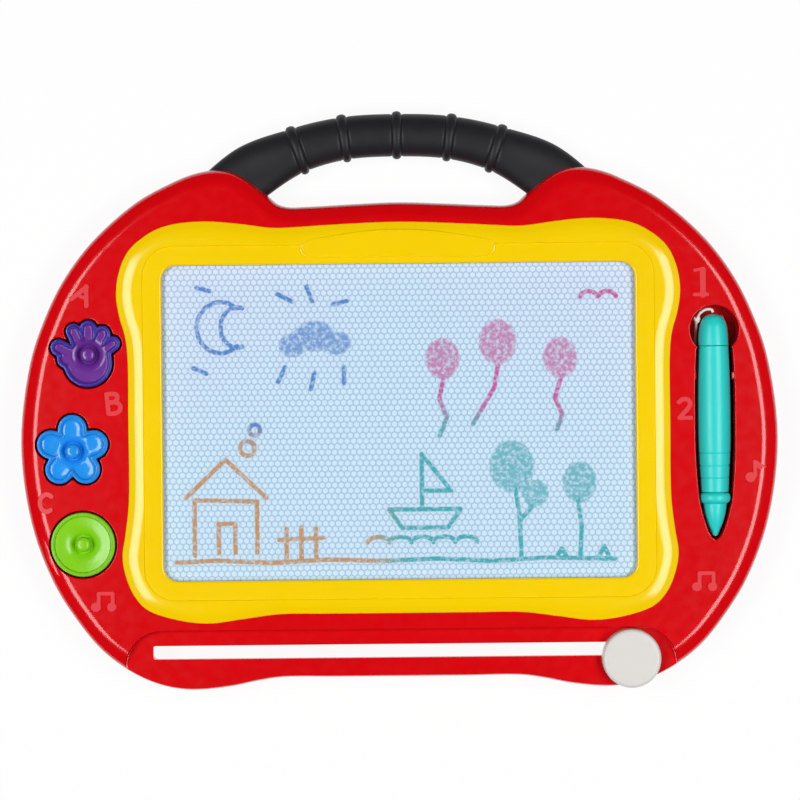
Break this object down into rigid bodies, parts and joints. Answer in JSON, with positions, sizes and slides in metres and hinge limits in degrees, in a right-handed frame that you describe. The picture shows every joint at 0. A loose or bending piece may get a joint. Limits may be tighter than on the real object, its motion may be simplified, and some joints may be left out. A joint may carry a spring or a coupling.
{
  "type": "magnetic drawing board",
  "caption": "Magnetic drawing board with a framed screen, a sliding eraser in a slot below it, stamps and a tethered pen in wells, and a ribbed carry handle.",
  "frame": {"origin": "middle of the bounding box on the plane that the board's back rests on", "axes": "+X to the right across the board, +Y up the board towards the handle, +Z out of the drawing side"},
  "size_m": [0.416, 0.3172, 0.0274],
  "materials": {
    "red_case": "glossy moulded ABS",
    "yellow_frame": "glossy moulded ABS",
    "screen_film": "clear smooth film",
    "screen_cells": "white fluid cells between sheets",
    "black_grip": "satin moulded PP",
    "grey_slider": "smooth moulded ABS",
    "purple_stamp": "glossy moulded PS",
    "blue_stamp": "glossy moulded PS",
    "green_stamp": "glossy moulded PS",
    "turquoise_pen": "glossy moulded PP",
    "magnet": "matte flexible magnet sheet",
    "string": "twisted nylon",
    "steel": "zinc plated"
  },
  "bodies": {
    "case": {"front_shell": "red_case", "back_shell": "red_case", "bezel": "yellow_frame", "screen_film": "screen_film", "screen_core": "screen_cells", "screen_back_sheet": "screen_cells", "handle_front": "black_grip", "handle_rear": "black_grip", "handle_screw_1": "steel", "handle_screw_2": "steel", "pen_string": "string", "string_knot": "string", "string_stop": "string", "case_screw_1": "steel", "case_screw_2": "steel", "case_screw_3": "steel", "case_screw_4": "steel", "case_screw_5": "steel", "case_screw_6": "steel", "case_screw_7": "steel", "case_screw_8": "steel", "case_screw_9": "steel", "case_screw_10": "steel"},
    "eraser": {"slider_knob": "grey_slider", "slider_carriage": "grey_slider", "eraser_magnet": "magnet", "slider_keeper": "grey_slider", "slider_screw": "steel"},
    "pen": {"pen_end_cap": "turquoise_pen", "pen_barrel": "turquoise_pen", "pen_nose": "turquoise_pen", "pen_tip": "steel"},
    "hand": {"hand_stamp": "purple_stamp", "hand_magnet": "magnet"},
    "flower": {"flower_stamp": "blue_stamp", "flower_magnet": "magnet"},
    "disc": {"disc_stamp": "green_stamp", "disc_magnet": "magnet"}
  },
  "joints": [
    {"name": "eraser_slide", "type": "slide", "parent": "case", "child": "eraser", "axis": [1, 0, 0], "range_m": [-0.2508, 0]},
    {"name": "pen_lift", "type": "slide", "parent": "case", "child": "pen", "axis": [0, 0, 1], "range_m": [0, 0.05]},
    {"name": "hand_lift", "type": "slide", "parent": "case", "child": "hand", "axis": [0, 0, 1], "range_m": [0, 0.05]},
    {"name": "flower_lift", "type": "slide", "parent": "case", "child": "flower", "axis": [0, 0, 1], "range_m": [0, 0.05]},
    {"name": "disc_lift", "type": "slide", "parent": "case", "child": "disc", "axis": [0, 0, 1], "range_m": [0, 0.05]}
  ]
}
